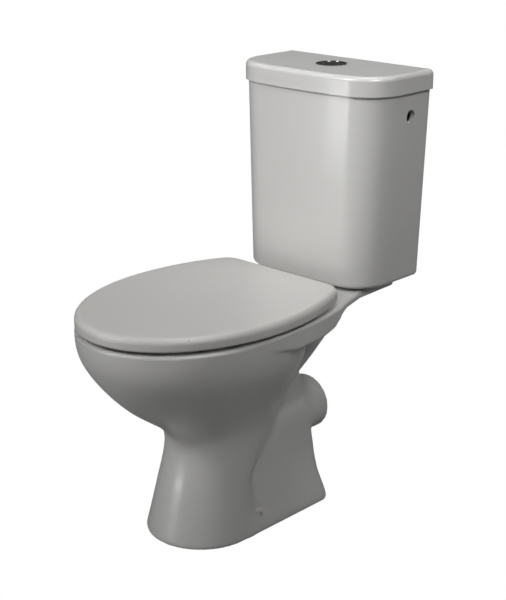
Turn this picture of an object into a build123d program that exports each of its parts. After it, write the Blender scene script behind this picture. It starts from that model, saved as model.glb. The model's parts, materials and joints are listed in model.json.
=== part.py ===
from build123d import *
import math
import os

# Close coupled toilet, in millimetres. +Z is up, -Y is the front of the pan, +Y is the wall side,
# and the origin is on the floor under the middle of the overall box.

# Overall
HALF_WIDTH = 180.0
FRONT = -323.0
BACK = 323.0
RIM_Z = 398.0
WIDEST_Y = -77.0
CENTRE_Y = 241.0  # flush valve, push buttons and cistern bolts share this line

# Pan
RIM_HALF_WIDTH = 178.0
RIM_FRONT = -321.0
DECK_CURVE_BACK = 259.0
DECK_BACK = 297.0
DECK_BOTTOM_Z = 386.0
DECK_LOW_Z = 350.0  # underside of the deck's deep band round the bowl
FOOT_HALF_WIDTH = 101.0
FOOT_BACK = 146.0
CAST_WALL = 11.0
BOWL_BACK = 106.0
TRAP_OUTER_R = 46.0
TRAP_BORE_R = 37.0
TRAP_LINE = [(0, -27, 104), (0, 23, 104), (0, 88, 228), (0, 143, 155)]
SPIGOT_R = 51.0
SPIGOT_NECK_R = 50.0
SPIGOT_BORE_R = 44.0
SPIGOT_Z = 154.0
SPIGOT_NECK_Y = 164.0
SPIGOT_END_Y = 191.0
INLET_RECESS_R = 50.0
INLET_RECESS_Z = 372.0
INLET_BORE_R = 30.0
FLOOR_FIXING = (84.0, -29.0)
FLOOR_SCREW_R = 4.0
FLOOR_SEAT_Z = 30.0

# Cistern and its lid
TANK_BOTTOM_Z = 404.5
TANK_FLOOR_Z = 416.0
TANK_TOP_Z = 760.0
TANK_BOTTOM_HALF = 149.0
TANK_TOP_HALF = 162.0
TANK_FRONT = 153.5
TANK_WALL = 9.0
LID_BOTTOM_Z = 747.0
LID_TOP_Z = 781.0
LID_HALF = 167.0
LID_FRONT = 148.5
LID_CROWN_Z = 770.0  # underside of the lid's top plate
LID_FIT = 0.6  # gap between the lid's skirt and the cistern
BUTTON_HOLE_R = 26.3
SIDE_HOLE_Y = 265.0
SIDE_HOLE_Z = 705.0
SIDE_HOLE_R = 11.5
WALL_HOLE_X = 110.0
WALL_HOLE_Z = 650.0
WALL_HOLE_R = 4.0
BOLT_X = 75.0

# Seat
HINGE_X = 77.5
HINGE_Y = 110.0
HINGE_Z = 413.0
PIN_R = 3.0
KNUCKLE_R = 6.0
RING_Z = (402.0, 417.0)
RING_BACK = 95.0
COVER_Z = (410.0, 421.0, 430.0)
COVER_BACK = 121.0
RUNNING_GAP = 0.06

# Flush valve
VALVE_TAIL_R = 29.8
VALVE_BORE_R = 25.0
VALVE_SEAT_Z = 428.0
CAGE_TOP_Z = 504.0
STEM_R = 14.0
STEM_BORE_R = 11.0
STEM_TOP_Z = 660.0
HEAD_Z = 676.0
LEVER_Z = 690.0
LEVER_X = 20.0
LEVER_END_X = 36.0
LEVER_PIN_R = 1.5
BUTTON_TOP_Z = 784.0
BUTTON_UNDER_Z = 778.4
BUTTON_SKIRT_Z = 772.0

# Fill valve
INLET_R = 10.5
INLET_NECK_R = 10.3
INLET_NECK_X = -168.0
INLET_FLAT_X = 159.2
INLET_INNER_X = 151.8
FLOAT_X = -110.0
FLOAT_PIVOT = (252.0, 724.0)
FLOAT_CUP_Y = 212.0


def block(x0, x1, y0, y1, z0, z1):
    return Pos((x0 + x1) / 2, (y0 + y1) / 2, (z0 + z1) / 2) * Box(x1 - x0, y1 - y0, z1 - z0)


def z_rod(x, y, z0, z1, radius):
    return Pos(x, y, (z0 + z1) / 2) * Cylinder(radius, z1 - z0)


def x_rod(x0, x1, y, z, radius):
    return Pos((x0 + x1) / 2, y, z) * Rot(0, 90, 0) * Cylinder(radius, x1 - x0)


def y_rod(x, y0, y1, z, radius):
    return Pos(x, (y0 + y1) / 2, z) * Rot(90, 0, 0) * Cylinder(radius, y1 - y0)


def z_tube(x, y, z0, z1, outer, bore):
    return z_rod(x, y, z0, z1, outer) - z_rod(x, y, z0, z1, bore)


def wing_nut(x, y, z0, z1, radius, bore, wing):
    """A nut with two flat wings standing out along Y."""
    body = z_rod(x, y, z0, z1, radius)
    body += block(x - 1.5, x + 1.5, y - wing, y + wing, z0, z1 - 2)
    return body - z_rod(x, y, z0, z1, bore)


def both_sides(solid):
    return Compound([solid, mirror(solid, Plane.YZ)])


def side_profile(points, half_width):
    """A prism across the width from an outline of (y, z) points."""
    outline = Polyline(*[(0, y, z) for y, z in points], close=True)
    return extrude(make_face(outline), half_width, dir=(1, 0, 0), both=True)


def egg(z, half_width, front, back, widest=WIDEST_Y):
    """Two half ellipses that meet at the widest line."""
    plane = Plane(origin=(0, widest, z))
    nose = EllipticalCenterArc((0, 0), half_width, widest - front, start_angle=180, arc_size=180)
    tail = EllipticalCenterArc((0, 0), half_width, back - widest, start_angle=0, arc_size=180)
    return plane * make_face([nose, tail])


def egg_loft(sections):
    return loft([egg(*section) for section in sections])


def pipe_chain(points, radius):
    """Straight pipes with ball joints through a list of points."""
    chain = None
    for start, end in zip(points, points[1:]):
        span = Vector(*end) - Vector(*start)
        middle = Vector(*start) + span * 0.5
        pipe = Plane(origin=middle, z_dir=span) * Cylinder(radius, span.length)
        pipe += Pos(*start) * Sphere(radius)
        chain = pipe if chain is None else chain + pipe
    return chain + Pos(*points[-1]) * Sphere(radius)


# ---------------------------------------------------------------- pan

def foot_section(z, half_width, back, corner):
    return Pos(0, (back - 90) / 2, z) * RectangleRounded(2 * half_width, back + 90, corner)


def pedestal(inset):
    """Round front column and narrower rear block, drawn in by inset for the hollow inside."""
    column = [
        (0, 99, -90.5),
        (35, 93, -88),
        (80, 85, -85),
        (120, 78.5, -81.5),
        (155, 75, -79),
        (190, 79, -76),
    ]
    rear = [
        (0, FOOT_HALF_WIDTH, FOOT_BACK),
        (12, 99, 146),
        (30, 89, 147),
        (60, 69, 152),
        (95, 56, 155),
        (150, 53, 150),
    ]
    front = loft([Pos(0, y, z) * Circle(r - inset) for z, r, y in column])
    back = loft([foot_section(z, half - inset, y - inset, 26 - inset) for z, half, y in rear])
    return front + back


def foot_hollow():
    """The casting is open underneath, to just below the trap."""
    keep = block(-200, 200, -300, 300, -1, 52)
    return pedestal(CAST_WALL) & keep


def bowl_outside():
    return egg_loft([
        (RIM_Z, RIM_HALF_WIDTH, RIM_FRONT, BOWL_BACK, -77),
        (370, 176, -318.5, 105, -77),
        (345, 171.5, -312, 103, -77),
        (318, 158, -295.5, 98, -75),
        (290, 141, -274, 92, -72),
        (262, 120, -245, 84, -68),
        (236, 98, -212, 72, -64),
        (212, 83, -177, 58, -60),
        (188, 77, -156, 50, -56),
    ])


def bowl_inside():
    cavity = egg_loft([
        (388, 167, -309, 95, -77),
        (352, 162, -302, 93, -77),
        (318, 147, -282, 88, -75),
        (290, 129, -258, 82, -72),
        (262, 106, -228, 74, -68),
        (234, 79, -188, 62, -62),
        (205, 60, -148, 44, -56),
        (160, 48, -126, 26, -50),
        (104, 36, -92, 12, -40),
        (72, 26, -70, 4, -33),
    ])
    opening = egg_loft([(345, 140, -278, 70, -77), (RIM_Z + 1, 140, -278, 70, -77)])
    return cavity, opening


def flush_lip():
    """The rim's inner wall hangs down and leaves the flushing gap under it."""
    outer = egg_loft([(354, 148, -287, 79, -77), (390, 148, -287, 79, -77)])
    inner = egg_loft([(353, 140, -278, 70, -77), (391, 140, -278, 70, -77)])
    return outer - inner


def deck():
    """Seat and cistern platform: the rim's curve run into a tapering shelf, deeper at the rim."""
    curve = egg(DECK_LOW_Z, RIM_HALF_WIDTH, RIM_FRONT, DECK_CURVE_BACK)
    right = [(118, DECK_BACK), (122, 187), (142, 117)]
    left = [(-x, y) for x, y in reversed(right)]
    shelf = make_face(Polyline(*left, *right, close=True))
    shelf = fillet(shelf.vertices().group_by(Axis.Y)[-1], 18)
    slab = extrude(curve, RIM_Z - DECK_LOW_Z, dir=(0, 0, 1)) - block(-200, 200, 200, 400, 340, 400)
    slab += extrude(Pos(0, 0, DECK_LOW_Z) * shelf, RIM_Z - DECK_LOW_Z, dir=(0, 0, 1))
    underside = [
        (-400, 340),
        (-400, DECK_LOW_Z),
        (-40, DECK_LOW_Z),
        (60, 362),
        (118, 383),
        (150, DECK_BOTTOM_Z),
        (400, DECK_BOTTOM_Z),
        (400, 340),
    ]
    return slab - side_profile(underside, 200)


def flush_duct():
    """Sloping box under the deck that leads the flush from the cistern to the rim."""
    outline = [
        (40, 390),
        (292, 390),
        (292, 356),
        (250, 345),
        (222, 328),
        (187, 300),
        (145, 268),
        (118, 246),
        (60, 215),
        (40, 215),
    ]
    socket = z_rod(0, CENTRE_Y, 356, 390, 56)
    return side_profile(outline, 50) + socket


def duct_chamber():
    outline = [
        (112, 386),
        (178, 386),
        (178, 362),
        (280, 362),
        (280, 358),
        (246, 353),
        (216, 336),
        (182, 309),
        (150, 285),
        (112, 285),
    ]
    chamber = side_profile(outline, 40)
    to_rim = block(-30, 30, 84, 120, 358, 386)
    recess = z_rod(0, CENTRE_Y, INLET_RECESS_Z, RIM_Z + 1, INLET_RECESS_R)
    bore = z_rod(0, CENTRE_Y, 355, INLET_RECESS_Z + 1, INLET_BORE_R)
    return chamber + to_rim + recess + bore


def deck_holes():
    holes = z_rod(HINGE_X, HINGE_Y, 360, RIM_Z + 1, 7.5)
    holes += z_rod(HINGE_X, HINGE_Y, 340, 384, 15)
    holes += z_rod(BOLT_X, CENTRE_Y, 360, RIM_Z + 1, 5.5)
    return holes + mirror(holes, Plane.YZ)


def floor_fixings():
    """A spot-faced pocket in each side of the foot, with a screw hole down to the floor."""
    x, y = FLOOR_FIXING
    seat = z_rod(x, y, FLOOR_SEAT_Z, 120, 12)
    hole = z_rod(x, y, -1, FLOOR_SEAT_Z + 1, FLOOR_SCREW_R)
    cut = seat + hole
    return cut + mirror(cut, Plane.YZ)


def floor_bosses():
    """Thick pads inside the hollow foot that carry the floor screws."""
    x, y = FLOOR_FIXING
    boss = z_rod(x, y, 0, 110, 19) & pedestal(0)
    return boss + mirror(boss, Plane.YZ)


def make_pan():
    solid = pedestal(0) - foot_hollow()
    solid += floor_bosses()
    solid += bowl_outside()
    solid += deck()
    solid += flush_duct()
    solid += pipe_chain(TRAP_LINE, TRAP_OUTER_R)
    solid += y_rod(0, 120, SPIGOT_NECK_Y, SPIGOT_Z, SPIGOT_NECK_R)
    solid += y_rod(0, SPIGOT_NECK_Y, SPIGOT_END_Y, SPIGOT_Z, SPIGOT_R)
    cavity, opening = bowl_inside()
    solid -= cavity + opening
    solid += flush_lip()
    solid -= duct_chamber()
    solid -= pipe_chain(TRAP_LINE, TRAP_BORE_R)
    solid -= y_rod(0, 143, SPIGOT_END_Y + 1, SPIGOT_Z, SPIGOT_BORE_R)
    solid -= deck_holes()
    return solid - floor_fixings()


# ---------------------------------------------------------------- cistern

def tank_outline(z, half_width, front, back, bow, front_radius, back_radius):
    """Plan of the cistern or its lid: bowed front, straight sides, rounded corners."""
    shoulder = front + bow
    edges = [
        ThreePointArc((-half_width, shoulder), (0, front), (half_width, shoulder)),
        Line((half_width, shoulder), (half_width, back)),
        Line((half_width, back), (-half_width, back)),
        Line((-half_width, back), (-half_width, shoulder)),
    ]
    face = make_face(edges)
    face = fillet(face.vertices().group_by(Axis.Y)[0], front_radius)
    face = fillet(face.vertices().group_by(Axis.Y)[-1], back_radius)
    return Pos(0, 0, z) * face


def tank_block(z0, z1, inset):
    """Tapered cistern block with a flat back; inset draws every wall in."""
    slope = (TANK_TOP_HALF - TANK_BOTTOM_HALF) / (TANK_TOP_Z - TANK_BOTTOM_Z)
    back = BACK - inset
    faces = []
    for z in (z0, z1):
        half = TANK_BOTTOM_HALF + slope * (z - TANK_BOTTOM_Z) - inset
        faces.append(tank_outline(z, half, TANK_FRONT + inset, back + 0.05, 14, 68 - inset, 12 - inset))
    return loft(faces, ruled=True) - block(-200, 200, back, back + 1, z0 - 1, z1 + 1)


def make_cistern():
    outside = tank_block(TANK_BOTTOM_Z, TANK_TOP_Z, 0)
    outside = fillet(outside.faces().sort_by(Axis.Z)[0].edges(), 8)
    solid = outside - tank_block(TANK_FLOOR_Z, TANK_TOP_Z + 1, TANK_WALL)
    solid -= z_rod(0, CENTRE_Y, 400, 420, 32)
    for side in (-1, 1):
        solid -= z_rod(side * BOLT_X, CENTRE_Y, 400, 420, 5.5)
        solid -= x_rod(side * 140 - 35, side * 140 + 35, SIDE_HOLE_Y, SIDE_HOLE_Z, SIDE_HOLE_R)
        solid -= y_rod(side * WALL_HOLE_X, 300, 330, WALL_HOLE_Z, WALL_HOLE_R)
    solid -= x_rod(-175, -INLET_FLAT_X, SIDE_HOLE_Y, SIDE_HOLE_Z, 19)
    return solid - x_rod(-INLET_INNER_X, -140, SIDE_HOLE_Y, SIDE_HOLE_Z, 18)


def make_cistern_lid():
    plan = tank_outline(LID_BOTTOM_Z, LID_HALF, LID_FRONT, BACK, 15, 73, 10)
    outside = extrude(plan, LID_TOP_Z - LID_BOTTOM_Z, dir=(0, 0, 1))
    outside = fillet(outside.faces().sort_by(Axis.Z)[-1].edges(), 9)
    half, front = TANK_TOP_HALF + LID_FIT, TANK_FRONT - LID_FIT
    seat = tank_outline(LID_BOTTOM_Z - 1, half, front, BACK + 5, 14, 68, 2)
    seat = extrude(seat, TANK_TOP_Z - LID_BOTTOM_Z + 1, dir=(0, 0, 1))
    half, front = TANK_TOP_HALF - 14, TANK_FRONT + 14
    hollow = tank_outline(TANK_TOP_Z - 1, half, front, BACK - 14, 14, 52, 6)
    hollow = extrude(hollow, LID_CROWN_Z - TANK_TOP_Z + 1, dir=(0, 0, 1))
    return outside - seat - hollow - z_rod(0, CENTRE_Y, LID_BOTTOM_Z, LID_TOP_Z + 1, BUTTON_HOLE_R)


# ---------------------------------------------------------------- seat

def back_corners(solid, back, z0, z1):
    upright = solid.edges().filter_by_position(Axis.Z, z0 + 1, z1 - 1)
    return upright.filter_by_position(Axis.Y, back - 1, back + 1)


def make_seat_ring():
    z0, z1 = RING_Z
    ring = extrude(egg(z0, 174, -317, 200), z1 - z0, dir=(0, 0, 1))
    ring -= block(-200, 200, RING_BACK, 300, 390, 440)
    ring = fillet(back_corners(ring, RING_BACK, z0, z1), 16)
    ring = fillet(ring.faces().sort_by(Axis.Z)[-1].edges(), 5)
    ring -= extrude(egg(z0 - 1, 115, -232, 45), z1 - z0 + 2, dir=(0, 0, 1))
    for side in (-1, 1):
        knuckle = block(56, 70, 90, HINGE_Y, HINGE_Z - KNUCKLE_R, HINGE_Z + 4)
        knuckle += x_rod(56, 70, HINGE_Y, HINGE_Z, KNUCKLE_R)
        knuckle -= x_rod(50, 72, HINGE_Y, HINGE_Z, PIN_R + RUNNING_GAP)
        ring += knuckle if side > 0 else mirror(knuckle, Plane.YZ)
    return ring


def cover_block(z0, z1, wall):
    outline = egg(z0, HALF_WIDTH - wall, FRONT + wall, 209 - wall)
    solid = extrude(outline, z1 - z0, dir=(0, 0, 1))
    return solid - block(-200, 200, COVER_BACK, 300, 390, 450)


def make_seat_lid():
    z0, inner_z, z1 = COVER_Z
    shell = cover_block(z0, z1, 0)
    shell = fillet(back_corners(shell, COVER_BACK, z0, z1), 20)
    shell = fillet(shell.faces().sort_by(Axis.Z)[-1].edges(), 6)
    shell -= cover_block(z0 - 1, inner_z, 4) + block(-118, 118, 60, 200, z0 - 1, inner_z)
    for side in (-1, 1):
        knuckle = block(85, 99, HINGE_Y - KNUCKLE_R, HINGE_Y + KNUCKLE_R, HINGE_Z, inner_z + 1)
        knuckle += x_rod(85, 99, HINGE_Y, HINGE_Z, KNUCKLE_R)
        knuckle -= x_rod(80, 101, HINGE_Y, HINGE_Z, PIN_R + RUNNING_GAP)
        shell += knuckle if side > 0 else mirror(knuckle, Plane.YZ)
    return shell


def make_hinge_post():
    post = z_rod(HINGE_X, HINGE_Y, 399.5, 401, 13)
    post += block(71, 84, HINGE_Y - KNUCKLE_R, HINGE_Y + KNUCKLE_R, 401, HINGE_Z)
    post += x_rod(71, 84, HINGE_Y, HINGE_Z, KNUCKLE_R)
    post -= x_rod(60, 95, HINGE_Y, HINGE_Z, PIN_R + 0.02)
    return post - z_rod(HINGE_X, HINGE_Y, 398, 407, 4.1)


def egg_point(half_width, front, back, degrees):
    """A point on a rim egg, measured from the widest line; positive angles go to the front."""
    reach = WIDEST_Y - front if degrees > 0 else back - WIDEST_Y
    return half_width * math.cos(math.radians(degrees)), WIDEST_Y - reach * math.sin(math.radians(degrees))


def make_buffers(half_width, front, back, angles, z0, z1, radius):
    pads = []
    for degrees in angles:
        x, y = egg_point(half_width, front, back, degrees)
        pads.append(z_rod(x, y, z0, z1, radius))
        pads.append(z_rod(-x, y, z0, z1, radius))
    return Compound(pads)


# ---------------------------------------------------------------- push buttons

def make_button_bezel():
    bezel = z_tube(0, CENTRE_Y, LID_TOP_Z, LID_TOP_Z + 1.2, 28, 24)
    bezel += z_tube(0, CENTRE_Y, 758, LID_TOP_Z + 1.2, 26, 24)
    bezel += z_tube(0, CENTRE_Y, 758, 760, 25, 20)
    hub = z_tube(0, CENTRE_Y, 758, 760, 12, 3.5)
    for turn in (90, 210, 330):
        spoke = Pos(0, CENTRE_Y, 759) * Rot(0, 0, turn) * Pos(16, 0, 0) * Box(10, 4, 2)
        hub += spoke
    return bezel + hub


def make_full_button():
    """Ring-shaped cap with a crowned top, an outer skirt and an inner guide tube."""
    low, under = BUTTON_SKIRT_Z, BUTTON_UNDER_Z
    guide = [(12.5, 782.6), (12.5, low), (14, low), (14, under)]
    skirt = [(22.1, under), (22.1, low), (23.6, low), (23.6, LID_TOP_Z)]
    section = guide + skirt
    outline = [Line((r0, 0, z0), (r1, 0, z1)) for (r0, z0), (r1, z1) in zip(section, section[1:])]
    outline.append(ThreePointArc((23.6, 0, LID_TOP_Z), (18.05, 0, 782.3), (12.5, 0, 782.6)))
    return Pos(0, CENTRE_Y, 0) * revolve(make_face(outline), Axis.Z)


def make_part_button():
    """Round cap with a gently domed top."""
    dome_r = 61.6
    cap = z_rod(0, CENTRE_Y, BUTTON_SKIRT_Z, BUTTON_TOP_Z, 12.1)
    cap &= Pos(0, CENTRE_Y, BUTTON_TOP_Z - dome_r) * Sphere(dome_r)
    return cap - z_rod(0, CENTRE_Y, BUTTON_SKIRT_Z - 1, BUTTON_UNDER_Z, 10.6)


def make_spring(radius, wire, z0, z1, turns):
    height = z1 - z0 - wire - 0.1
    coil = Helix(pitch=height / turns, height=height, radius=radius)
    profile = Plane(origin=coil @ 0, z_dir=coil % 0) * Circle(wire / 2)
    return Pos(0, CENTRE_Y, z0 + wire / 2 + 0.05) * sweep(profile, path=coil)


def make_full_rod():
    """Pushes the rocker's outer end; cranked outwards below the button."""
    rod = z_rod(17, CENTRE_Y, 706, BUTTON_UNDER_Z, 2)
    rod += block(15, 39, CENTRE_Y - 3, CENTRE_Y + 3, 706, 709)
    return rod + block(34, 38, CENTRE_Y - 3, CENTRE_Y + 3, LEVER_Z + 2.3, 706)


def make_part_rod():
    rod = z_rod(0, CENTRE_Y, 722, BUTTON_UNDER_Z, 2.2)
    rod += block(-38, 2, CENTRE_Y - 3, CENTRE_Y + 3, 722, 725)
    return rod + block(-38, -34, CENTRE_Y - 3, CENTRE_Y + 3, LEVER_Z + 2.3, 722)


# ---------------------------------------------------------------- flush valve

def make_valve_base():
    base = z_rod(0, CENTRE_Y, 380, 425, VALVE_TAIL_R)
    base += z_rod(0, CENTRE_Y, 419, 425, 42)
    base += z_rod(0, CENTRE_Y, 425, VALVE_SEAT_Z, 28)
    return base - z_rod(0, CENTRE_Y, 379, 430, VALVE_BORE_R)


def make_valve_cage():
    cage = z_tube(0, CENTRE_Y, 425, CAGE_TOP_Z, 38, 35)
    cage += z_tube(0, CENTRE_Y, CAGE_TOP_Z - 4, CAGE_TOP_Z, 38, STEM_R + 0.3)
    cage -= block(-12, 12, CENTRE_Y - 50, CENTRE_Y + 50, 432, 484)
    cage -= block(-50, 50, CENTRE_Y - 12, CENTRE_Y + 12, 432, 484)
    for side in (-1, 1):
        rail = CENTRE_Y + side * 26
        cage += block(-5, 5, rail - 2, rail + 2, CAGE_TOP_Z, HEAD_Z)
    cage += block(-27, 27, CENTRE_Y - 28, CENTRE_Y + 28, HEAD_Z, HEAD_Z + 4)
    cage -= z_rod(0, CENTRE_Y, HEAD_Z - 1, HEAD_Z + 5, 4)
    for x in (-LEVER_X, LEVER_X):
        for side in (-1, 1):
            y0 = CENTRE_Y + side * 11 - 2
            ear = block(x - 4, x + 4, y0, y0 + 4, HEAD_Z + 4, LEVER_Z)
            ear += y_rod(x, y0, y0 + 4, LEVER_Z, 4)
            cage += ear - y_rod(x, y0 - 1, y0 + 5, LEVER_Z, LEVER_PIN_R + 0.02)
    return cage


def make_valve_stem():
    """Hollow overflow tube with the seal disc below and a lifting collar above."""
    stem = z_tube(0, CENTRE_Y, 431, STEM_TOP_Z, STEM_R, STEM_BORE_R)
    stem += z_tube(0, CENTRE_Y, 431, 435, 29, STEM_BORE_R)
    stem += block(-12, 12, CENTRE_Y - 1.5, CENTRE_Y + 1.5, 648, STEM_TOP_Z)
    stem += z_rod(0, CENTRE_Y, 648, 695.6, 3)
    return stem + z_rod(0, CENTRE_Y, LEVER_Z + 2.6, 695.6, 7)


def make_flush_rocker():
    """First-class lever: pushed down outside its pin, it lifts the collar with a fork."""
    rocker = y_rod(LEVER_X, CENTRE_Y - 8.5, CENTRE_Y + 8.5, LEVER_Z, 4)
    rocker += block(LEVER_X, LEVER_END_X, CENTRE_Y - 4, CENTRE_Y + 4, LEVER_Z - 1.8, LEVER_Z + 1.8)
    rocker += y_rod(LEVER_END_X, CENTRE_Y - 4, CENTRE_Y + 4, LEVER_Z, 2)
    for side in (-1, 1):
        y0 = CENTRE_Y + side * 6 - 2
        rocker += block(0, LEVER_X, y0, y0 + 4, LEVER_Z - 1.8, LEVER_Z + 1.8)
        rocker += y_rod(0, y0, y0 + 4, LEVER_Z, 2)
    return rocker - y_rod(LEVER_X, CENTRE_Y - 10, CENTRE_Y + 10, LEVER_Z, LEVER_PIN_R + RUNNING_GAP)


def make_part_latch():
    """Short lever on the other side; its tooth stays clear of the lifting collar."""
    latch = y_rod(-LEVER_X, CENTRE_Y - 8.5, CENTRE_Y + 8.5, LEVER_Z, 4)
    latch += block(-LEVER_END_X, -LEVER_X, CENTRE_Y - 4, CENTRE_Y + 4, LEVER_Z - 1.8, LEVER_Z + 1.8)
    latch += y_rod(-LEVER_END_X, CENTRE_Y - 4, CENTRE_Y + 4, LEVER_Z, 2)
    latch += block(-LEVER_X, -12, CENTRE_Y - 3, CENTRE_Y + 3, LEVER_Z - 1.5, LEVER_Z + 1.5)
    return latch - y_rod(-LEVER_X, CENTRE_Y - 10, CENTRE_Y + 10, LEVER_Z, LEVER_PIN_R + RUNNING_GAP)


# ---------------------------------------------------------------- fill valve

def make_fill_body():
    body = x_rod(-HALF_WIDTH, INLET_NECK_X, SIDE_HOLE_Y, SIDE_HOLE_Z, INLET_R)
    body += x_rod(INLET_NECK_X, -145, SIDE_HOLE_Y, SIDE_HOLE_Z, INLET_NECK_R)
    body += x_rod(-149.3, -145.3, SIDE_HOLE_Y, SIDE_HOLE_Z, 17)
    body += x_rod(-146, -95, SIDE_HOLE_Y, SIDE_HOLE_Z, 14)
    body += z_rod(-102, SIDE_HOLE_Y, 680, 700, 9)
    pivot_y, pivot_z = FLOAT_PIVOT
    for x0, x1 in ((-119.5, -116), (-104, -100.5)):
        body += block(x0, x1, pivot_y - 5, pivot_y + 18, 702, pivot_z + 5)
    body -= x_rod(-125, -95, pivot_y, pivot_z, 2.02)
    body -= x_rod(-HALF_WIDTH - 1, -102, SIDE_HOLE_Y, SIDE_HOLE_Z, 6)
    return body - z_rod(-102, SIDE_HOLE_Y, 679, SIDE_HOLE_Z, 5.5)


def make_float_arm():
    pivot_y, pivot_z = FLOAT_PIVOT
    arm = x_rod(-115.5, -104.5, pivot_y, pivot_z, 5)
    arm += block(-114, -106, FLOAT_CUP_Y - 4, pivot_y, pivot_z - 2.5, pivot_z + 2.5)
    arm += z_rod(FLOAT_X, FLOAT_CUP_Y, 708, pivot_z, 4)
    return arm - x_rod(-120, -100, pivot_y, pivot_z, 2 + RUNNING_GAP)


def make_float_cup():
    return z_rod(FLOAT_X, FLOAT_CUP_Y, 672, 708, 19) - z_rod(FLOAT_X, FLOAT_CUP_Y, 671, 706, 17)


def x_washer(x0, x1, outer, bore):
    washer = x_rod(x0, x1, SIDE_HOLE_Y, SIDE_HOLE_Z, outer)
    return washer - x_rod(x0, x1, SIDE_HOLE_Y, SIDE_HOLE_Z, bore)


def make_inlet_backnut():
    plane = Plane(origin=(-INLET_FLAT_X, SIDE_HOLE_Y, SIDE_HOLE_Z), z_dir=(-1, 0, 0))
    body = extrude(plane * RegularPolygon(15, 6, major_radius=False), 8)
    return body - x_rod(-175, -150, SIDE_HOLE_Y, SIDE_HOLE_Z, INLET_R + 0.15)


# ---------------------------------------------------------------- fixings

def make_coupling_bolt():
    head = Pos(BOLT_X, CENTRE_Y, 421) * RegularPolygon(6.5, 6, major_radius=False)
    return extrude(head, 5.5, dir=(0, 0, 1)) + z_rod(BOLT_X, CENTRE_Y, 370, 421, 4)


def bolt_washer(z0, z1, radius):
    return both_sides(z_tube(BOLT_X, CENTRE_Y, z0, z1, radius, 4.2))


def make_parts():
    hinge_post = make_hinge_post()
    pivot_y, pivot_z = FLOAT_PIVOT
    lever_pin = y_rod(LEVER_X, CENTRE_Y - 13, CENTRE_Y + 13, LEVER_Z, LEVER_PIN_R)
    return {
        "pan": make_pan(),
        "cistern": make_cistern(),
        "cistern_lid": make_cistern_lid(),
        "seat_ring": make_seat_ring(),
        "seat_lid": make_seat_lid(),
        "hinge_post_right": hinge_post,
        "hinge_post_left": mirror(hinge_post, Plane.YZ),
        "hinge_pins": both_sides(x_rod(56, 99, HINGE_Y, HINGE_Z, PIN_R)),
        "hinge_gaskets": both_sides(z_tube(HINGE_X, HINGE_Y, RIM_Z, 399.5, 14, 4.2)),
        "hinge_studs": both_sides(z_rod(HINGE_X, HINGE_Y, 352, 407, 4)),
        "hinge_cone_washers": both_sides(z_tube(HINGE_X, HINGE_Y, 376, 384, 11, 4.2)),
        "hinge_wing_nuts": both_sides(wing_nut(HINGE_X, HINGE_Y, 364, 376, 8, 4.2, 14)),
        "seat_buffers": make_buffers(157, -300, 88, (-18, 38), RIM_Z, RING_Z[0], 7),
        "lid_buffers": make_buffers(145, -275, 120, (5, 70), RING_Z[1], COVER_Z[1], 6),
        "button_bezel": make_button_bezel(),
        "button_lock_nut": z_tube(0, CENTRE_Y, 762, 770, 33, 26.2),
        "full_flush_button": make_full_button(),
        "part_flush_button": make_part_button(),
        "full_flush_rod": make_full_rod(),
        "part_flush_rod": make_part_rod(),
        "full_flush_spring": make_spring(20.9, 0.9, 760, 778.4, 5),
        "part_flush_spring": make_spring(8.5, 0.8, 760, 778.4, 6),
        "flush_valve_base": make_valve_base(),
        "flush_valve_washer": z_tube(0, CENTRE_Y, TANK_FLOOR_Z, 419, 42, 30),
        "flush_valve_backnut": z_tube(0, CENTRE_Y, 392, TANK_BOTTOM_Z, 41, 30),
        "doughnut_seal": z_tube(0, CENTRE_Y, INLET_RECESS_Z, 392, 46, 30.2),
        "valve_cage": make_valve_cage(),
        "valve_stem": make_valve_stem(),
        "valve_seal": z_tube(0, CENTRE_Y, VALVE_SEAT_Z, 431, 30, 16),
        "flush_rocker": make_flush_rocker(),
        "part_flush_latch": make_part_latch(),
        "lever_pins": both_sides(lever_pin),
        "coupling_bolts": both_sides(make_coupling_bolt()),
        "coupling_washers": bolt_washer(419, 421, 12),
        "coupling_seals": bolt_washer(TANK_FLOOR_Z, 419, 14),
        "coupling_pads": bolt_washer(RIM_Z, TANK_BOTTOM_Z, 16),
        "coupling_under_washers": bolt_washer(383, DECK_BOTTOM_Z, 12),
        "coupling_wing_nuts": both_sides(wing_nut(BOLT_X, CENTRE_Y, 374, 383, 8, 4.2, 14)),
        "fill_valve_body": make_fill_body(),
        "fill_valve_washer": x_washer(-INLET_INNER_X, -149.3, 16, INLET_R + 0.15),
        "inlet_backnut": make_inlet_backnut(),
        "fill_tube": z_tube(-102, SIDE_HOLE_Y, 440, 680, 7, 5.5),
        "float_arm": make_float_arm(),
        "float_cup": make_float_cup(),
        "float_pin": x_rod(-121, -99, pivot_y, pivot_z, 2),
    }


os.makedirs("parts", exist_ok=True)
for name, shape in make_parts().items():
    export_step(shape, os.path.join("parts", name + ".step"))
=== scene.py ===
import json
import math

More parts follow.
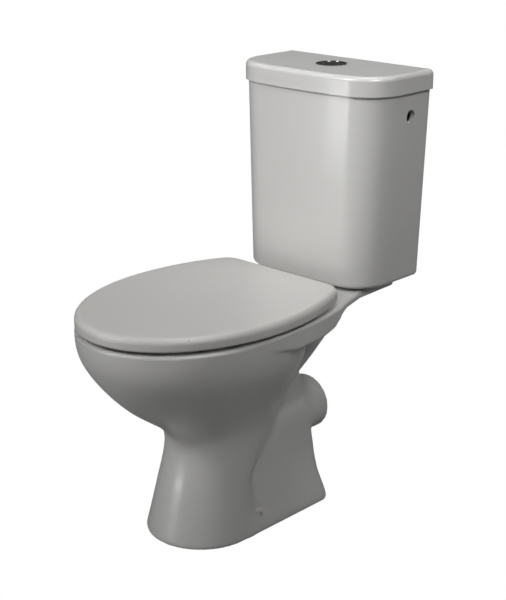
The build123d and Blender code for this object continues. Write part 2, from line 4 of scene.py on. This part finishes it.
import bpy
import numpy as np
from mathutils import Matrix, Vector


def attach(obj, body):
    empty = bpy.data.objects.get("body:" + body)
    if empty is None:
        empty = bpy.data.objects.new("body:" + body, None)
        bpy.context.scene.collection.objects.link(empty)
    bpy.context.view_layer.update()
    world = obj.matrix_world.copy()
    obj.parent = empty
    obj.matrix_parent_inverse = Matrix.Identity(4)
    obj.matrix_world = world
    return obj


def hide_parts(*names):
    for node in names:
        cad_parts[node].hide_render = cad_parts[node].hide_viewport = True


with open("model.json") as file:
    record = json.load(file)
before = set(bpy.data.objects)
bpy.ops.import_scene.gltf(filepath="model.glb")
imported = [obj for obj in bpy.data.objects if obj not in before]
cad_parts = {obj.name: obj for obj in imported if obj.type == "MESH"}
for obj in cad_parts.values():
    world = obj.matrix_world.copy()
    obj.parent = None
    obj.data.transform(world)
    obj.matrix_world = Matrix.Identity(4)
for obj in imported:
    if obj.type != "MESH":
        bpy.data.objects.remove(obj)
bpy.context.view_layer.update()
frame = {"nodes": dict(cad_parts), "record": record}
MM = 0.001

# ---------------------------------------------------------------- places, in mm, as the CAD frame has them

RIM_Z = 398.0
WIDEST_Y = -77.0
CENTRE_Y = 241.0
SEAT_BOLT = (77.5, 110.0)
CISTERN_BOLT = (75.0, CENTRE_Y)
FLOOR_FIXING = (84.0, -29.0)
SPIGOT_Z = 154.0
SPIGOT_END_Y = 191.0
SPIGOT_R = 51.0
SPIGOT_BORE_R = 44.0
TRAP_R, TRAP_BORE_R = 46.0, 37.0
INLET_SOCKET_R, INLET_R = 50.0, 30.0
DUCT_HALF_X, CHAMBER_HALF_X = 50.0, 40.0
FOOT_BLEND = 9.0
FOOT_WALL, FOOT_ROOF_Z = 11.0, 52.0
BOWL_ROOF_Z, BOWL_FLOOR_Z = 388.0, 66.0
HINGE_BORE_R, KNUCKLE_R = 3.1, 6.0
HINGE_Y, HINGE_Z = 110.0, 413.0
TRAP = [(0, -27, 104), (0, 23, 104), (0, 88, 228), (0, 143, 155)]

# Pan outside, from the floor up: z, half width, front, back, widest line
BODY = [
    (-20, 102, -195, 12, -91), (0, 100, -191, 9, -90.5), (35, 93.5, -182, 4, -88.5),
    (70, 87, -173, -2, -86), (95, 83, -166.5, -4, -84), (125, 78, -158.5, 30, -81),
    (150, 75.5, -153.5, 62, -77), (170, 76, -152.5, 80, -72), (190, 79.5, -158, 90, -68),
    (210, 87, -177, 96, -68), (230, 98, -204.5, 100, -70), (250, 112.5, -232, 103, -72),
    (270, 127, -254.5, 104, -73), (290, 141, -273.5, 105, -76), (310, 153.6, -290, 106, -82),
    (330, 164.8, -303.5, 107, -92), (350, 171.5, -314, 108, -100), (370, 174.5, -319.5, 108, -105),
    (385, 175.5, -321, 108, -105), (398, 176, -321.3, 108, -105), (420, 176, -321.3, 108, -105),
]
# Foot behind the front column: z, half width, back
REAR = [
    (-20, 104, 148), (0, 101, 146), (12, 98.5, 146), (30, 88.5, 147), (47, 77, 149), (64, 68, 152),
    (80, 62, 154), (95, 58.5, 155), (115, 56.5, 153), (140, 55, 151), (200, 52, 140), (240, 50, 130),
]
# Bowl inside: z, half width, front, back, widest line
CAVITY = [
    (40, 20, -60, 4, -33), (62, 28, -72, 6, -33), (80, 34, -84, 10, -36), (104, 39, -96, 16, -40),
    (160, 50, -126, 30, -52), (205, 62, -152, 44, -58), (234, 79, -190, 62, -64),
    (262, 103, -228, 74, -70), (290, 126, -257, 84, -74), (318, 145, -280, 90, -76),
    (345, 158, -298, 94, -77), (360, 163, -304, 95, -77), (420, 164, -305, 95, -77),
]
# Underside of the flush duct, and of the chamber inside it: y, z
DUCT = [(40, 205), (60, 216), (120, 253), (145, 269), (187, 300), (223, 329), (255, 346), (292, 357)]
CHAMBER = [(112, 272), (145, 282), (187, 313), (223, 341), (255, 357), (276, 362)]

# ---------------------------------------------------------------- solid forms as distance fields


def curves(z, rows):
    """Smooth curves through rows of (z, value, value, ...), one array for each value."""
    rows = np.array(rows, float)
    knots = rows[:, 0]
    i = np.clip(np.searchsorted(knots, z) - 1, 0, len(knots) - 2)
    step = knots[i + 1] - knots[i]
    t = np.clip((z - knots[i]) / step, 0, 1)
    out = []
    for column in rows[:, 1:].T:
        slope = np.gradient(column, knots)
        start, end = column[i], column[i + 1]
        pull = (t**3 - 2 * t**2 + t) * slope[i] * step + (t**3 - t**2) * slope[i + 1] * step
        out.append((2 * t**3 - 3 * t**2 + 1) * start + (3 * t**2 - 2 * t**3) * end + pull)
    return out


def join(a, b, radius):
    """Union with a soft cove."""
    h = np.clip(0.5 + 0.5 * (b - a) / radius, 0, 1)
    return b + (a - b) * h - radius * h * (1 - h)


def meet(a, b, radius):
    """Intersection with its edge rounded to the radius."""
    u, v = np.maximum(a + radius, 0), np.maximum(b + radius, 0)
    return np.minimum(np.maximum(a, b), -radius) + np.sqrt(u * u + v * v)


def cut(a, b, radius):
    return meet(a, -b, radius)


def egg(x, y, half_width, front, back, widest=WIDEST_Y):
    """Two half ellipses that meet at the widest line."""
    reach = np.where(y < widest, widest - front, back - widest)
    u, v = x / half_width, (y - widest) / reach
    rho = np.sqrt(u * u + v * v) + 1e-9
    slope = np.sqrt((u / half_width) ** 2 + (v / reach) ** 2) + 1e-9
    return (rho - 1) * rho / slope


def rounded_box(x, y, half_x, y0, y1, radius):
    qx = np.abs(x) - (half_x - radius)
    qy = np.abs(y - (y0 + y1) / 2) - ((y1 - y0) / 2 - radius)
    outside = np.sqrt(np.maximum(qx, 0) ** 2 + np.maximum(qy, 0) ** 2)
    return np.minimum(np.maximum(qx, qy), 0) + outside - radius


def capsule(x, y, z, start, end, radius):
    span = np.subtract(end, start).astype(float)
    dx, dy, dz = x - start[0], y - start[1], z - start[2]
    t = np.clip((dx * span[0] + dy * span[1] + dz * span[2]) / (span @ span), 0, 1)
    return np.sqrt((dx - t * span[0]) ** 2 + (dy - t * span[1]) ** 2 + (dz - t * span[2]) ** 2) - radius


def pipe(x, y, z, points, radius, blend):
    line = None
    for start, end in zip(points, points[1:]):
        part = capsule(x, y, z, start, end, radius)
        line = part if line is None else join(line, part, blend)
    return line


def above(y, z, line):
    """Above a line of (y, z) points that slopes about three in four."""
    ys, zs = zip(*line)
    return (np.interp(y, ys, zs) - z) * 0.8


def upright(x, y, place, radius):
    """An upright round hole on each side."""
    return np.hypot(np.abs(x) - place[0], y - place[1]) - radius


def foot(x, y, z, blend):
    half_width, front, back, widest = curves(z, BODY)
    body = egg(x, y, half_width, front, back, widest)
    half_width, back = curves(z, REAR)
    rear = meet(rounded_box(x, y, half_width, -90, back, 24), z - 190, 20)
    return join(body, rear, blend)


def deck(x, y, z):
    """Seat and cistern shelf, with a band under its edge that dies away to the back."""
    plan = np.maximum(egg(x, y, 176.5, -319.5, 259), y - 200)
    half_width = np.interp(y, [90, 117, 187, 297], [157, 144, 124, 118])
    shelf = meet((np.abs(x) - half_width) * 0.96, np.abs(y - 190) - 107, 16)
    low = np.interp(y, [-150, -90, -40, 20, 60, 84, 100, 130], [392, 373, 362, 361, 363, 366, 379, 385])
    return meet(join(plan, shelf, 3), low - z, 4)


def duct(x, y, z):
    """Sloping box under the deck, with the round socket over it that takes the cistern outlet."""
    socket = meet(np.hypot(x, y - CENTRE_Y) - 56, np.abs(z - 376) - 14, 5)
    span = np.maximum(np.abs(y - 166) - 126, z - 392)
    box = meet(meet(above(y, z, DUCT), np.abs(x) - DUCT_HALF_X, 5), span, 5)
    return join(box, socket, 6)


def pan_outside(x, y, z):
    solid = foot(x, y, z, FOOT_BLEND)
    solid = join(solid, pipe(x, y, z, [*TRAP[1:3], (0, 136, 160)], TRAP_R, 20), 14)
    spigot = meet(np.hypot(x, z - SPIGOT_Z) - SPIGOT_R, np.abs(y - 120) - (SPIGOT_END_Y - 120), 2)
    solid = join(solid, spigot, 10)
    solid = join(solid, duct(x, y, z), 8)
    solid = join(solid, deck(x, y, z), 3)
    return meet(meet(solid, z - RIM_Z, 5.5), -z, 7)


def foot_hollow(x, y, z):
    """The space inside the foot, open to the floor, round a boss for each floor screw."""
    inside = meet(foot(x, y, z, FOOT_BLEND) + FOOT_WALL, z - FOOT_ROOF_Z, 6)
    return cut(inside, upright(x, y, FLOOR_FIXING, 19), 3)


def bowl_hollow(x, y, z):
    half_width, front, back, widest = curves(z, CAVITY)
    bowl = meet(egg(x, y, half_width, front, back, widest), z - BOWL_ROOF_Z, 4)
    return np.maximum(bowl, BOWL_FLOOR_Z - z)


def flush_chamber(x, y, z):
    """The way of the flush water: under the cistern outlet, down the duct and out below the rim."""
    span = np.abs(y - 194) - 82
    chamber = np.maximum(np.maximum(above(y, z, CHAMBER), np.abs(x) - CHAMBER_HALF_X), span)
    chamber = np.maximum(chamber, z - np.interp(y, [170, 185], [386, 363]))
    rim_slot = np.maximum(np.abs(x) - 30, np.maximum(np.abs(z - 372) - 14, np.abs(y - 102) - 18))
    chamber = np.minimum(chamber, rim_slot)
    return np.minimum(chamber, np.maximum(np.hypot(x, y - CENTRE_Y) - INLET_R, np.abs(z - 365) - 10))


def with_fixing_holes(solid, x, y, z):
    """Seat bolts with their nut recesses, cistern bolts, and a pocket and hole for each floor screw."""
    solid = cut(solid, np.maximum(upright(x, y, SEAT_BOLT, 7.5), 340 - z), 1)
    solid = cut(solid, np.maximum(upright(x, y, SEAT_BOLT, 15), np.abs(z - 362) - 22), 1)
    solid = cut(solid, np.maximum(upright(x, y, CISTERN_BOLT, 5.5), 340 - z), 1)
    pocket = meet(upright(x, y, FLOOR_FIXING, 12), np.abs(z - 80) - 50, 3)
    return cut(cut(solid, pocket, 2), np.maximum(upright(x, y, FLOOR_FIXING, 4), z - 40), 0.5)


def pan(x, y, z):
    solid = pan_outside(x, y, z)
    solid = cut(solid, foot_hollow(x, y, z), 3)
    solid = cut(solid, bowl_hollow(x, y, z), 3)
    mouth = egg(x, y, 140, -278, 70)
    solid = join(solid, meet(np.abs(mouth - 5) - 5, np.abs(z - 373) - 21, 3.5), 3)
    solid = cut(solid, np.maximum(mouth, 345 - z), 5)
    solid = cut(solid, flush_chamber(x, y, z), 2)
    solid = cut(solid, np.maximum(np.hypot(x, y - CENTRE_Y) - INLET_SOCKET_R, 372 - z), 2)
    solid = cut(solid, pipe(x, y, z, TRAP, TRAP_BORE_R, 6), 5)
    solid = cut(solid, np.maximum(np.hypot(x, z - SPIGOT_Z) - SPIGOT_BORE_R, 143 - y), 2)
    return with_fixing_holes(solid, x, y, z)


def along_x(x, y, z, x0, x1, radius):
    """A rod on the hinge line, on each side."""
    ends = np.abs(np.abs(x) - (x0 + x1) / 2) - (x1 - x0) / 2
    return np.maximum(np.hypot(y - HINGE_Y, z - HINGE_Z) - radius, ends)


def seat_ring(x, y, z):
    plan = meet(egg(x, y, 173, -316, 199), y - 95, 16)
    ring = meet(meet(plan, z - 417, 6), 402 - z, 1.5)
    ring = cut(ring, egg(x, y, 115, -232, 45), 6)
    arm = np.maximum(np.abs(np.abs(x) - 63) - 7, np.maximum(np.abs(y - 100) - 10, np.abs(z - 412) - 5))
    knuckle = np.minimum(arm, along_x(x, y, z, 56, 70, KNUCKLE_R))
    return cut(join(ring, knuckle, 2), along_x(x, y, z, 50, 72, HINGE_BORE_R), 0.3)


def seat_lid(x, y, z):
    """Pillow-edged cover, hollow underneath, open at the back for the hinges."""
    plan = meet(egg(x, y, 180, -323, 209), y - 121, 22)
    crown = 430 - 4.0 * np.clip((plan + 75) / 75, 0, 1) ** 2
    lid = meet(meet(plan, z - crown, 10), 405 - z, 2)
    hollow = np.maximum(meet(egg(x, y, 174.5, -317.5, 203.5), y - 116, 16), z - 420)
    open_back = np.maximum(np.maximum(np.abs(x) - 118, 60 - y), z - 420)
    lid = cut(lid, np.minimum(hollow, open_back), 1)
    arm = np.maximum(np.abs(np.abs(x) - 92) - 7, np.maximum(np.abs(y - HINGE_Y) - 6, np.abs(z - 417.5) - 4.5))
    knuckle = np.minimum(arm, along_x(x, y, z, 85, 99, KNUCKLE_R))
    return cut(join(lid, knuckle, 2), along_x(x, y, z, 80, 101, HINGE_BORE_R), 0.3)


# ---------------------------------------------------------------- meshes on the fields


def spaced(start, end, step, fine=(), fine_step=1.5):
    """Grid lines from start to end, closer together inside the fine spans."""
    lines = [start]
    while lines[-1] < end:
        close = any(low <= lines[-1] <= high for low, high in fine)
        lines.append(lines[-1] + (fine_step if close else step))
    return np.array(lines)


def net(field, half_xs, ys, zs):
    """Vertices and quads of the zero surface of a field that is symmetric in x."""
    y_grid, z_grid = np.meshgrid(ys, zs, indexing="ij")
    half = np.array([field(np.full(y_grid.shape, x), y_grid, z_grid) for x in half_xs])
    values = np.concatenate([half[::-1], half])
    axes = [np.concatenate([-half_xs[::-1], half_xs]), ys, zs]
    inside = values < 0
    ends = (slice(None, -1), slice(1, None))
    corners = [inside[i, j, k] for i in ends for j in ends for k in ends]
    count = np.sum(corners, axis=0)
    active = (count > 0) & (count < 8)
    cells = np.argwhere(active)
    number = np.full(active.shape, -1)
    number[active] = np.arange(len(cells))
    total, hits = np.zeros((len(cells), 3)), np.zeros(len(cells))
    unit = np.eye(3, dtype=int)
    for axis in range(3):
        for a in (0, 1):
            for b in (0, 1):
                near = cells + a * unit[(axis + 1) % 3] + b * unit[(axis + 2) % 3]
                far = near + unit[axis]
                v0, v1 = values[tuple(near.T)], values[tuple(far.T)]
                crossed = (v0 < 0) != (v1 < 0)
                t = np.where(crossed, v0 / np.where(crossed, v0 - v1, 1), 0)
                total[crossed] += (near + unit[axis] * t[:, None])[crossed]
                hits[crossed] += 1
    place = total / hits[:, None]
    points = np.stack([np.interp(place[:, k], np.arange(len(axes[k])), axes[k]) for k in range(3)], 1)
    quads = []
    for axis in range(3):
        low, high = [slice(1, -1)] * 3, [slice(1, -1)] * 3
        low[axis], high[axis] = slice(0, -1), slice(1, None)
        u, v = unit[(axis + 1) % 3], unit[(axis + 2) % 3]
        for mask, order in ((inside[tuple(low)] & ~inside[tuple(high)], 1),
                            (~inside[tuple(low)] & inside[tuple(high)], -1)):
            corner = np.argwhere(mask) + 1 - unit[axis]
            ring = [number[tuple((corner - shift).T)] for shift in (u + v, v, 0 * v, u)]
            quads.append(np.stack(ring, 1)[:, ::order])
    return points, np.concatenate(quads)


def settled(field, points, passes):
    """Moves points along the field's slope onto its zero surface."""
    reach, step = 2.0, 0.15
    for _ in range(passes):
        slope = np.empty_like(points)
        for k in range(3):
            shift = np.zeros(3)
            shift[k] = step
            slope[:, k] = (field(*(points + shift).T) - field(*(points - shift).T)) / (2 * step)
        move = (field(*points.T) / np.maximum((slope**2).sum(1), 0.2))[:, None] * slope
        length = np.linalg.norm(move, axis=1, keepdims=True)
        points = points - move * np.minimum(1, reach / np.maximum(length, 1e-9))
    return points


def relaxed(field, points, quads, passes):
    """Evens out the quads, keeping their corners on the surface."""
    edges = np.concatenate([quads[:, [i, (i + 1) % 4]] for i in range(4)])
    edges = np.unique(np.sort(edges, 1), axis=0)
    a, b = edges.T
    valence = np.bincount(edges.ravel(), minlength=len(points))[:, None]
    for _ in range(passes):
        total = [np.bincount(a, points[b, k], len(points)) + np.bincount(b, points[a, k], len(points))
                 for k in range(3)]
        points = settled(field, (points + np.stack(total, 1) / valence) / 2, 1)
    return points


def solid_piece(name, field, half_xs, ys, zs, passes=3):
    points, quads = net(field, half_xs, ys, zs)
    points = relaxed(field, settled(field, points, 3), quads, passes)
    mesh = bpy.data.meshes.new(name)
    mesh.from_pydata((points * MM).tolist(), [], quads.tolist())
    mesh.polygons.foreach_set("use_smooth", [True] * len(quads))
    piece = bpy.data.objects.new(name, mesh)
    bpy.context.scene.collection.objects.link(piece)
    return piece


# ---------------------------------------------------------------- materials


def nodes_of(material):
    material.use_nodes = True
    tree = material.node_tree
    return tree, tree.nodes["Principled BSDF"]


def glaze(name, color, roughness):
    """Fired glaze: a faint pooling of tone, and a very slight waviness under a clear coat."""
    material = bpy.data.materials.new(name)
    tree, shader = nodes_of(material)
    add, link = tree.nodes.new, tree.links.new
    place = add("ShaderNodeTexCoord")
    tone = add("ShaderNodeTexNoise")
    tone.inputs["Scale"].default_value = 7.0
    tone.inputs["Detail"].default_value = 3.0
    ramp = add("ShaderNodeValToRGB")
    ramp.color_ramp.elements[0].position = 0.3
    ramp.color_ramp.elements[1].position = 0.7
    ramp.color_ramp.elements[0].color = (*[c * 0.97 for c in color], 1)
    ramp.color_ramp.elements[1].color = (*color, 1)
    wave = add("ShaderNodeTexNoise")
    wave.inputs["Scale"].default_value = 38.0
    wave.inputs["Detail"].default_value = 2.0
    bump = add("ShaderNodeBump")
    bump.inputs["Strength"].default_value = 0.05
    bump.inputs["Distance"].default_value = 0.0006
    link(place.outputs["Object"], tone.inputs["Vector"])
    link(place.outputs["Object"], wave.inputs["Vector"])
    link(tone.outputs["Fac"], ramp.inputs["Fac"])
    link(ramp.outputs["Color"], shader.inputs["Base Color"])
    link(wave.outputs["Fac"], bump.inputs["Height"])
    link(bump.outputs["Normal"], shader.inputs["Normal"])
    shader.inputs["Roughness"].default_value = roughness
    shader.inputs["Coat Weight"].default_value = 0.4
    shader.inputs["Coat Roughness"].default_value = 0.12
    return material


def grained(name, color, roughness, scale, depth, metallic=0.0, stretch=(1, 1, 1)):
    """Moulded plastic, rubber or metal: a fine grain in tone, roughness and relief."""
    material = bpy.data.materials.new(name)
    tree, shader = nodes_of(material)
    add, link = tree.nodes.new, tree.links.new
    place = add("ShaderNodeTexCoord")
    mapping = add("ShaderNodeMapping")
    mapping.inputs["Scale"].default_value = stretch
    grain = add("ShaderNodeTexNoise")
    grain.inputs["Scale"].default_value = scale
    grain.inputs["Detail"].default_value = 4.0
    ramp = add("ShaderNodeValToRGB")
    ramp.color_ramp.elements[0].color = (*[c * 0.93 for c in color], 1)
    ramp.color_ramp.elements[1].color = (*[min(c * 1.05, 1) for c in color], 1)
    rough = add("ShaderNodeMapRange")
    rough.inputs["To Min"].default_value = roughness * 0.85
    rough.inputs["To Max"].default_value = min(roughness * 1.2, 1)
    bump = add("ShaderNodeBump")
    bump.inputs["Strength"].default_value = 0.15
    bump.inputs["Distance"].default_value = depth
    link(place.outputs["Object"], mapping.inputs["Vector"])
    link(mapping.outputs["Vector"], grain.inputs["Vector"])
    link(grain.outputs["Fac"], ramp.inputs["Fac"])
    link(grain.outputs["Fac"], rough.inputs["Value"])
    link(grain.outputs["Fac"], bump.inputs["Height"])
    link(ramp.outputs["Color"], shader.inputs["Base Color"])
    link(rough.outputs["Result"], shader.inputs["Roughness"])
    link(bump.outputs["Normal"], shader.inputs["Normal"])
    shader.inputs["Metallic"].default_value = metallic
    return material


MATERIALS = {
    "vitreous_china": glaze("china_glaze", (0.66, 0.655, 0.64), 0.32),
    "seat_plastic": grained("seat_plastic", (0.665, 0.648, 0.63), 0.3, 900, 0.0001),
    "chrome": grained("chrome_plate", (0.32, 0.32, 0.33), 0.12, 300, 0.00005, 1.0, (1, 1, 8)),
    "steel": grained("bright_steel", (0.5, 0.5, 0.51), 0.3, 400, 0.0001, 1.0, (1, 1, 6)),
    "rubber": grained("black_rubber", (0.03, 0.03, 0.032), 0.75, 700, 0.0002),
    "white_plastic": grained("white_plastic", (0.62, 0.62, 0.6), 0.45, 800, 0.0001),
    "grey_plastic": grained("grey_plastic", (0.2, 0.23, 0.27), 0.45, 800, 0.0001),
}


def finish_cad_nodes():
    slots = {row["node"]: row["material_slot"] for row in frame["record"]["subparts"]}
    for name, node in frame["nodes"].items():
        node.data.materials.clear()
        node.data.materials.append(MATERIALS[slots[name]])


def stand_in(piece, body, slot, *nodes):
    """A finished piece that takes the place of CAD nodes on a body."""
    piece.data.materials.append(MATERIALS[slot])
    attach(piece, body)
    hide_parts(*nodes)


# ---------------------------------------------------------------- the object


def make_pan():
    step = 4.0
    half_xs = (np.arange(int(184 / step) + 2) + 0.5) * step
    ys = spaced(-328, 304, step)
    zs = spaced(-4, 403, step, [(384, 403)], 1.5)
    return solid_piece("pan_body", pan, half_xs, ys, zs)


def make_seat_piece(name, field, low, high):
    step = 3.0
    half_xs = (np.arange(int(184 / step) + 2) + 0.5) * step
    return solid_piece(name, field, half_xs, spaced(-328, 128, step), spaced(low, high, 1.5))


finish_cad_nodes()
stand_in(make_pan(), "root", "vitreous_china", "pan")
stand_in(make_seat_piece("seat_ring_body", seat_ring, 400, 419), "seat_ring", "seat_plastic", "seat_ring")
stand_in(make_seat_piece("seat_lid_body", seat_lid, 402, 433), "seat_lid", "seat_plastic", "seat_lid")

# ---------------------------------------------------------------- stage, light and camera

AZIMUTH, ELEVATION = math.radians(43.5), math.radians(18.8)
DISTANCE = 2.356
TARGET = Vector((0, 0.023, 0.391))
LENS = 80.8
SHIFT = (0.0108, 0.0023)


def add_camera():
    level = math.cos(ELEVATION)
    away = Vector((math.sin(AZIMUTH) * level, -math.cos(AZIMUTH) * level, math.sin(ELEVATION)))
    data = bpy.data.cameras.new("camera")
    data.lens = LENS
    data.sensor_width = 36
    data.shift_x, data.shift_y = SHIFT
    camera = bpy.data.objects.new("camera", data)
    camera.location = TARGET + away * DISTANCE
    camera.rotation_euler = away.to_track_quat("Z", "Y").to_euler()
    bpy.context.scene.collection.objects.link(camera)
    bpy.context.scene.camera = camera


def add_floor():
    """A pale floor that reads as the white of the studio, and gives back only part of the light."""
    mesh = bpy.data.meshes.new("floor")
    reach = 30
    corners = [(-reach, -reach, 0), (reach, -reach, 0), (reach, reach, 0), (-reach, reach, 0)]
    mesh.from_pydata(corners, [], [(0, 1, 2, 3)])
    floor = bpy.data.objects.new("floor", mesh)
    bpy.context.scene.collection.objects.link(floor)
    material = bpy.data.materials.new("pale_floor")
    tree, shader = nodes_of(material)
    add, link = tree.nodes.new, tree.links.new
    shader.inputs["Base Color"].default_value = (0.32, 0.32, 0.32, 1)
    shader.inputs["Roughness"].default_value = 0.9
    path = add("ShaderNodeLightPath")
    pale = add("ShaderNodeEmission")
    pale.inputs["Color"].default_value = (1, 1, 1, 1)
    pale.inputs["Strength"].default_value = 1.0
    mix = add("ShaderNodeMixShader")
    link(path.outputs["Is Camera Ray"], mix.inputs["Fac"])
    link(shader.outputs["BSDF"], mix.inputs[1])
    link(pale.outputs["Emission"], mix.inputs[2])
    link(mix.outputs["Shader"], tree.nodes["Material Output"].inputs["Surface"])
    mesh.materials.append(material)


def add_area(name, location, target, size, power, spread):
    data = bpy.data.lights.new(name, "AREA")
    data.shape = "DISK"
    data.size = size
    data.energy = power
    data.spread = math.radians(spread)
    light = bpy.data.objects.new(name, data)
    light.location = location
    light.rotation_euler = (Vector(location) - Vector(target)).to_track_quat("Z", "Y").to_euler()
    bpy.context.scene.collection.objects.link(light)


def add_world(ambient):
    world = bpy.data.worlds.new("studio")
    world.use_nodes = True
    tree = world.node_tree
    seen = tree.nodes["Background"]
    seen.inputs["Color"].default_value = (1, 1, 1, 1)
    seen.inputs["Strength"].default_value = 1.0
    around = tree.nodes.new("ShaderNodeBackground")
    around.inputs["Color"].default_value = (1, 1, 1, 1)
    around.inputs["Strength"].default_value = ambient
    path = tree.nodes.new("ShaderNodeLightPath")
    mix = tree.nodes.new("ShaderNodeMixShader")
    tree.links.new(path.outputs["Is Camera Ray"], mix.inputs["Fac"])
    tree.links.new(around.outputs["Background"], mix.inputs[1])
    tree.links.new(seen.outputs["Background"], mix.inputs[2])
    tree.links.new(mix.outputs["Shader"], tree.nodes["World Output"].inputs["Surface"])
    bpy.context.scene.world = world


def add_light():
    bpy.context.scene.view_settings.view_transform = "Standard"
    add_world(0.10)
    add_area("key", (-0.9, -2.6, 2.7), (0, 0.15, 1.05), 1.1, 4.5, 40)
    add_area("top", (0.4, 0.2, 3.4), (0, 0, 0.4), 1.2, 22, 180)
    add_area("side", (2.3, -0.9, 2.9), (0, 0.15, 1.0), 1.1, 3.0, 40)
    add_area("low", (-1.0, -2.5, 0.2), (0, 0, 0.25), 1.0, 15, 180)


add_camera()
add_floor()
add_light()
